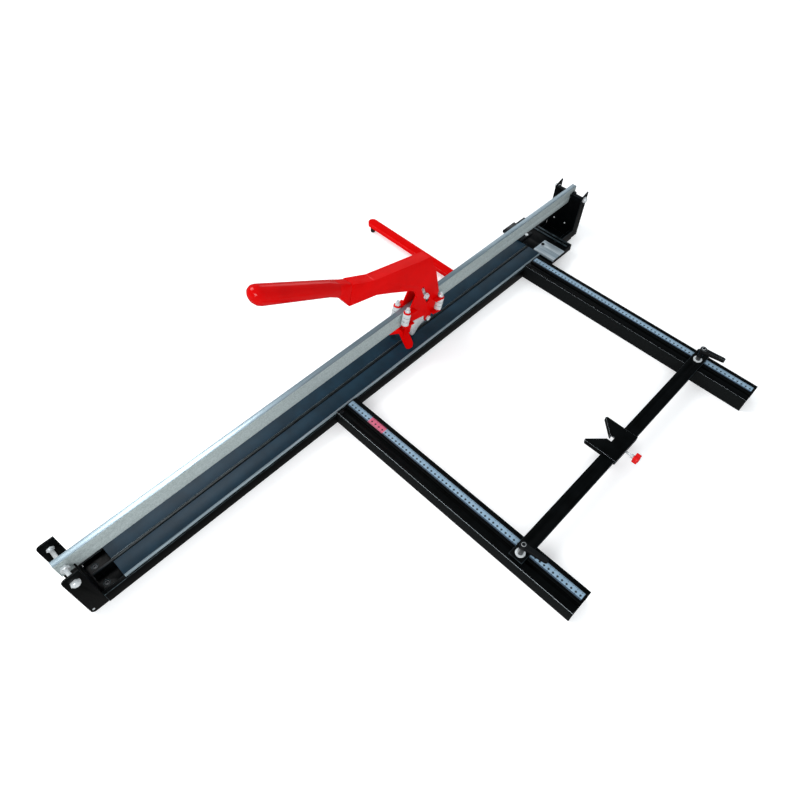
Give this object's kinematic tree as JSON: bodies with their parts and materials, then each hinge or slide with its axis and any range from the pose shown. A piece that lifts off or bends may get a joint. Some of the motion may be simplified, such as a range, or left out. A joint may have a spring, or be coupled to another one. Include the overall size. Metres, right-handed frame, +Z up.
{
  "type": "manual tile cutter",
  "caption": "Long padded bed under a steel rail, with a sliding lever carriage and scoring wheel, ruled side arms, a sliding cross bar with an angle stop, and a fold-out support.",
  "frame": {"origin": "middle of the base channel's underside, on the floor", "axes": "+X along the rail towards the wide cross foot, +Z up, side arms towards -Y"},
  "size_m": [1.488, 1.03, 0.4395],
  "materials": {
    "angle_stop": "satin black coat",
    "base_channel": "satin black coat",
    "breaking_foot": "gloss red enamel",
    "breaking_ridge": "drawn steel",
    "carriage_frame": "gloss red enamel",
    "cross_bar": "satin black coat",
    "cross_foot": "satin black coat",
    "end_plate": "satin black coat",
    "far_arm": "satin black coat",
    "far_arm_screw": "satin black coat",
    "far_back_cap_nut": "bright zinc plate",
    "far_board": "mill finish",
    "far_bracket": "satin black coat",
    "far_clamp_lever": "black moulded lever",
    "far_clamp_plate": "bright zinc plate",
    "far_clamp_screw": "satin black coat",
    "far_clamp_stud": "bright zinc plate",
    "far_end_screw": "satin black coat",
    "far_front_cap_nut": "bright zinc plate",
    "far_left_roller": "bright zinc plate",
    "far_left_roller_bolt": "bright zinc plate",
    "far_pad": "matt navy rubber",
    "far_right_roller": "bright zinc plate",
    "far_right_roller_bolt": "bright zinc plate",
    "far_ruler": "pale blue printed scale",
    "far_stud": "bright zinc plate",
    "handle_grip": "gloss red plastic",
    "holder_bolt": "bright zinc plate",
    "near_arm": "satin black coat",
    "near_arm_screw": "satin black coat",
    "near_back_cap_nut": "bright zinc plate",
    "near_board": "mill finish",
    "near_bracket": "satin black coat",
    "near_clamp_lever": "black moulded lever",
    "near_clamp_plate": "bright zinc plate",
    "near_clamp_screw": "satin black coat",
    "near_clamp_stud": "bright zinc plate",
    "near_end_screw": "satin black coat",
    "near_front_cap_nut": "bright zinc plate",
    "near_left_roller": "bright zinc plate",
    "near_left_roller_bolt": "bright zinc plate",
    "near_pad": "matt navy rubber",
    "near_right_roller": "bright zinc plate",
    "near_right_roller_bolt": "bright zinc plate",
    "near_ruler": "pale blue printed scale",
    "near_stud": "bright zinc plate",
    "pivot_bolt": "bright zinc plate",
    "rail": "drawn steel",
    "scoring_wheel": "ground carbide",
    "stop_knob": "gloss red plastic",
    "stop_screw": "bright zinc plate",
    "support_arm": "gloss red enamel",
    "support_bolt": "bright zinc plate",
    "support_foot": "matt black rubber",
    "support_lug": "satin black coat",
    "top_roller": "bright zinc plate",
    "wheel_holder": "bright zinc plate",
    "wheel_pin": "bright zinc plate"
  },
  "bodies": {
    "base": {"base_channel": "base_channel", "breaking_ridge": "breaking_ridge", "cross_foot": "cross_foot", "end_plate": "end_plate", "far_arm": "far_arm", "far_arm_screw": "far_arm_screw", "far_back_cap_nut": "far_back_cap_nut", "far_board": "far_board", "far_bracket": "far_bracket", "far_clamp_plate": "far_clamp_plate", "far_clamp_screw": "far_clamp_screw", "far_end_screw": "far_end_screw", "far_front_cap_nut": "far_front_cap_nut", "far_pad": "far_pad", "far_ruler": "far_ruler", "far_stud": "far_stud", "near_arm": "near_arm", "near_arm_screw": "near_arm_screw", "near_back_cap_nut": "near_back_cap_nut", "near_board": "near_board", "near_bracket": "near_bracket", "near_clamp_plate": "near_clamp_plate", "near_clamp_screw": "near_clamp_screw", "near_end_screw": "near_end_screw", "near_front_cap_nut": "near_front_cap_nut", "near_pad": "near_pad", "near_ruler": "near_ruler", "near_stud": "near_stud", "rail": "rail", "support_bolt": "support_bolt", "support_lug": "support_lug"},
    "slider": {"pivot_bolt": "pivot_bolt"},
    "lever": {"carriage_frame": "carriage_frame", "handle_grip": "handle_grip", "breaking_foot": "breaking_foot", "wheel_holder": "wheel_holder", "holder_bolt": "holder_bolt", "wheel_pin": "wheel_pin", "near_left_roller_bolt": "near_left_roller_bolt", "near_right_roller_bolt": "near_right_roller_bolt", "far_left_roller_bolt": "far_left_roller_bolt", "far_right_roller_bolt": "far_right_roller_bolt"},
    "top_roller": {"top_roller": "top_roller"},
    "scoring_wheel": {"scoring_wheel": "scoring_wheel"},
    "cross_bar": {"cross_bar": "cross_bar", "near_clamp_stud": "near_clamp_stud", "far_clamp_stud": "far_clamp_stud"},
    "near_clamp_lever": {"near_clamp_lever": "near_clamp_lever"},
    "far_clamp_lever": {"far_clamp_lever": "far_clamp_lever"},
    "angle_stop": {"angle_stop": "angle_stop"},
    "stop_knob": {"stop_knob": "stop_knob", "stop_screw": "stop_screw"},
    "support_arm": {"support_arm": "support_arm", "support_foot": "support_foot"},
    "near_left_roller": {"near_left_roller": "near_left_roller"},
    "near_right_roller": {"near_right_roller": "near_right_roller"},
    "far_left_roller": {"far_left_roller": "far_left_roller"},
    "far_right_roller": {"far_right_roller": "far_right_roller"}
  },
  "joints": [
    {"name": "carriage_slide", "type": "slide", "parent": "base", "child": "slider", "axis": [1, 0, 0], "range_m": [-0.76, 0.45]},
    {"name": "lever_rock", "type": "hinge", "parent": "slider", "child": "lever", "pos_m": [0.143, 0, 0.1511], "axis": [0, 1, 0], "range_deg": [0, 12]},
    {"name": "top_roller_spin", "type": "hinge", "parent": "slider", "child": "top_roller", "pos_m": [0.143, 0, 0.1511], "axis": [0, 1, 0], "continuous": true},
    {"name": "scoring_wheel_spin", "type": "hinge", "parent": "lever", "child": "scoring_wheel", "pos_m": [0.1144, 0, 0.04878], "axis": [0, 1, 0], "continuous": true},
    {"name": "near_left_roller_spin", "type": "hinge", "parent": "lever", "child": "near_left_roller", "pos_m": [0.07814, -0.0155, 0.12656], "axis": [0.2419, 0, 0.9703], "continuous": true},
    {"name": "near_right_roller_spin", "type": "hinge", "parent": "lever", "child": "near_right_roller", "pos_m": [0.18875, -0.0155, 0.09898], "axis": [0.2419, 0, 0.9703], "continuous": true},
    {"name": "far_left_roller_spin", "type": "hinge", "parent": "lever", "child": "far_left_roller", "pos_m": [0.07814, 0.0155, 0.12656], "axis": [0.2419, 0, 0.9703], "continuous": true},
    {"name": "far_right_roller_spin", "type": "hinge", "parent": "lever", "child": "far_right_roller", "pos_m": [0.18875, 0.0155, 0.09898], "axis": [0.2419, 0, 0.9703], "continuous": true},
    {"name": "cross_bar_slide", "type": "slide", "parent": "base", "child": "cross_bar", "axis": [0, 1, 0], "range_m": [-0.11, 0.4]},
    {"name": "near_clamp_turn", "type": "hinge", "parent": "cross_bar", "child": "near_clamp_lever", "pos_m": [-0.141, -0.5205, 0.068], "axis": [0, 0, 1], "range_deg": [-90, 90]},
    {"name": "far_clamp_turn", "type": "hinge", "parent": "cross_bar", "child": "far_clamp_lever", "pos_m": [0.5146, -0.5205, 0.068], "axis": [0, 0, 1], "range_deg": [-90, 90]},
    {"name": "stop_slide", "type": "slide", "parent": "cross_bar", "child": "angle_stop", "axis": [1, 0, 0], "range_m": [-0.27, 0.262]},
    {"name": "stop_knob_turn", "type": "hinge", "parent": "angle_stop", "child": "stop_knob", "pos_m": [0.189, -0.561, 0.0433], "axis": [0, 1, 0], "range_deg": [0, 720]},
    {"name": "support_arm_fold", "type": "hinge", "parent": "base", "child": "support_arm", "pos_m": [0.343, 0.06, 0.027], "axis": [0, 0, 1], "range_deg": [0, 90]}
  ],
  "couplings": [
    {"joint": "top_roller_spin", "follows": "carriage_slide", "rad_per_m": 90.909},
    {"joint": "near_left_roller_spin", "follows": "carriage_slide", "rad_per_m": 111.11},
    {"joint": "near_right_roller_spin", "follows": "carriage_slide", "rad_per_m": 111.11},
    {"joint": "far_left_roller_spin", "follows": "carriage_slide", "rad_per_m": -111.11},
    {"joint": "far_right_roller_spin", "follows": "carriage_slide", "rad_per_m": -111.11}
  ]
}
